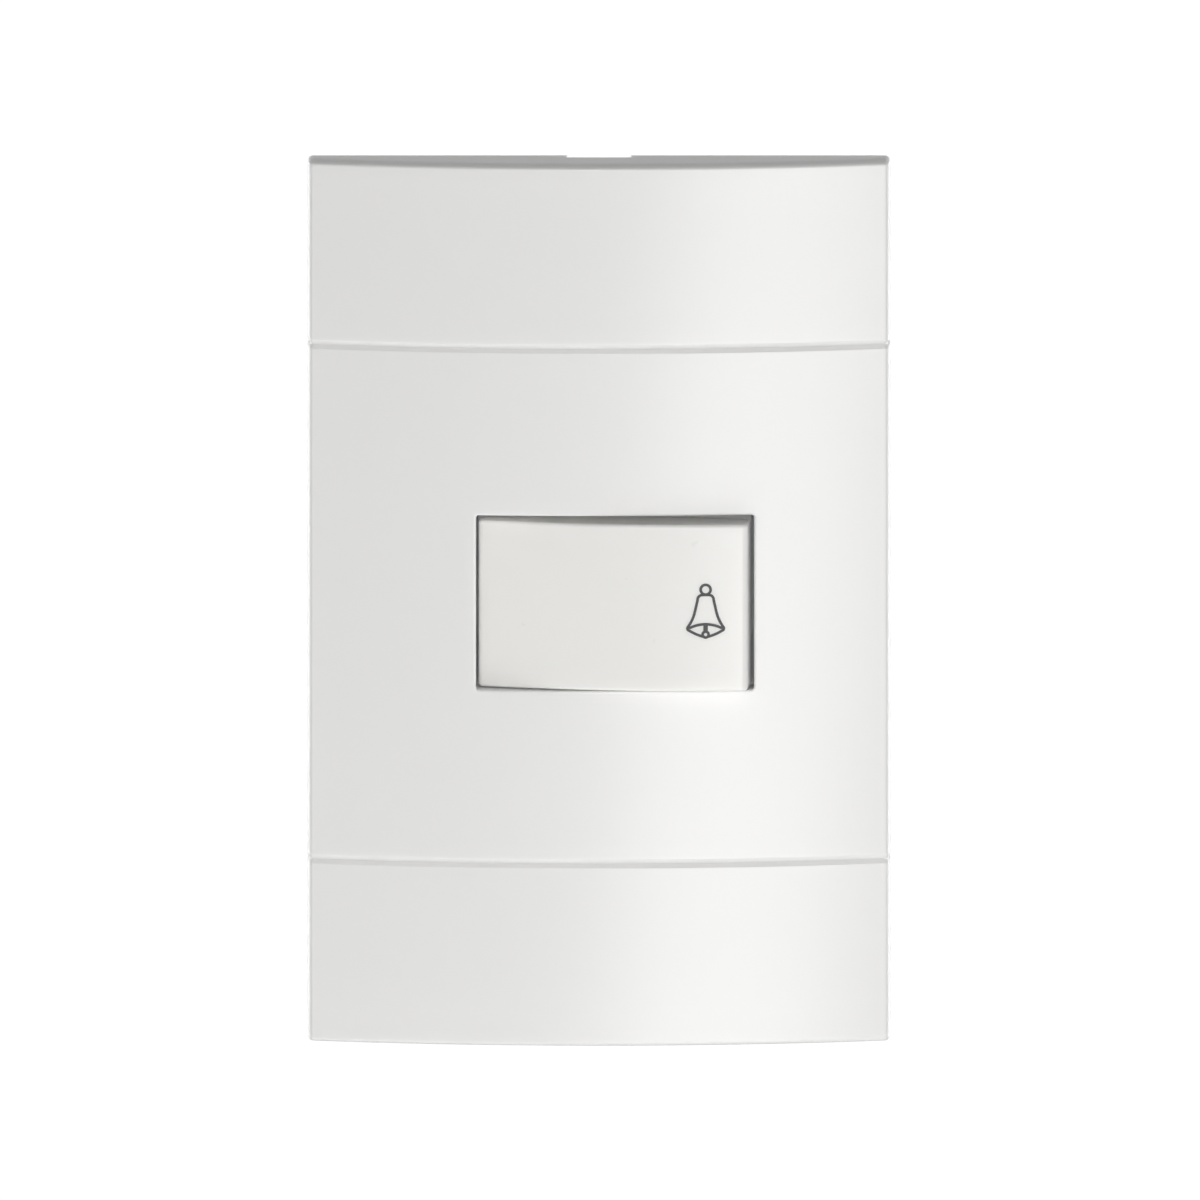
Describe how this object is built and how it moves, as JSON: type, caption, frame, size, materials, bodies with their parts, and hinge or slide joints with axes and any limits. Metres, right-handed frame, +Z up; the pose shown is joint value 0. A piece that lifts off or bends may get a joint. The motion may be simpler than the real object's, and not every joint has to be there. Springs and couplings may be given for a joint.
{
  "type": "bell push",
  "caption": "Bell push for a wall box: bowed white plate with two cross grooves, an off-centre rocker key with a bell mark, and a spring-return push mechanism behind.",
  "frame": {"origin": "middle of the plate on the wall plane, which is also midway between the two box screws", "axes": "+X to the right, +Z up, +Y into the wall; the front faces -Y"},
  "size_m": [0.078, 0.0312, 0.12],
  "materials": {
    "plate_plastic": "smooth white moulding, satin to glossy",
    "key_plastic": "smooth white moulding, a little warmer than the plate",
    "mark_plastic": "dark grey, flush with the key",
    "carrier_plastic": "off-white moulding",
    "support_plastic": "light grey fine-grained moulding",
    "case_plastic": "pale grey moulding",
    "plunger_plastic": "natural acetal",
    "zinc_steel": "zinc plated",
    "spring_steel": "drawn wire",
    "contact_brass": "rolled strip",
    "terminal_brass": "sawn and drilled block",
    "contact_silver": "silver alloy rivet"
  },
  "bodies": {
    "support": {"mounting_frame": "support_plastic", "box_screws": "zinc_steel", "case_front": "case_plastic", "mechanism_case": "case_plastic", "case_screws": "zinc_steel", "return_spring": "spring_steel", "fixed_contact_tips": "contact_silver", "terminal_strip_upper": "contact_brass", "terminal_strip_lower": "contact_brass", "terminal_block_upper": "terminal_brass", "terminal_block_lower": "terminal_brass"},
    "cover": {"cover_plate": "plate_plastic"},
    "key": {"key_cap": "key_plastic", "bell_mark": "mark_plastic", "rocker_carrier": "carrier_plastic"},
    "plunger": {"plunger": "plunger_plastic", "contact_bridge": "contact_brass", "moving_contact_tips": "contact_silver", "contact_spring": "spring_steel"},
    "upper_pad": {"pressure_pad_upper": "zinc_steel"},
    "upper_screw": {"clamp_screw_upper": "zinc_steel"},
    "lower_pad": {"pressure_pad_lower": "zinc_steel"},
    "lower_screw": {"clamp_screw_lower": "zinc_steel"}
  },
  "joints": [
    {"name": "key_press", "type": "hinge", "parent": "support", "child": "key", "pos_m": [0.0021, -0.0044, 0], "axis": [0, 0, 1], "range_deg": [0, 9], "stiffness_Nm_per_rad": 0.02, "springref_deg": -8.59},
    {"name": "plunger_travel", "type": "slide", "parent": "support", "child": "plunger", "axis": [0, 1, 0], "range_m": [0, 0.00174], "deforming": ["return_spring"]},
    {"name": "cover_pull", "type": "slide", "parent": "support", "child": "cover", "axis": [0, -1, 0], "range_m": [0, 0.014]},
    {"name": "upper_pad_slide", "type": "slide", "parent": "support", "child": "upper_pad", "axis": [1, 0, 0], "range_m": [0, 0.002]},
    {"name": "upper_screw_turn", "type": "hinge", "parent": "upper_pad", "child": "upper_screw", "pos_m": [-0.013, 0.0135, 0.005], "axis": [1, 0, 0], "range_deg": [0, 1440]},
    {"name": "lower_pad_slide", "type": "slide", "parent": "support", "child": "lower_pad", "axis": [1, 0, 0], "range_m": [0, 0.002]},
    {"name": "lower_screw_turn", "type": "hinge", "parent": "lower_pad", "child": "lower_screw", "pos_m": [-0.013, 0.0135, -0.005], "axis": [1, 0, 0], "range_deg": [0, 1440]}
  ],
  "couplings": [
    {"joint": "key_press", "follows": "plunger_travel", "rad_per_m": 90.26},
    {"joint": "upper_screw_turn", "follows": "upper_pad_slide", "rad_per_m": 12566},
    {"joint": "lower_screw_turn", "follows": "lower_pad_slide", "rad_per_m": 12566}
  ]
}
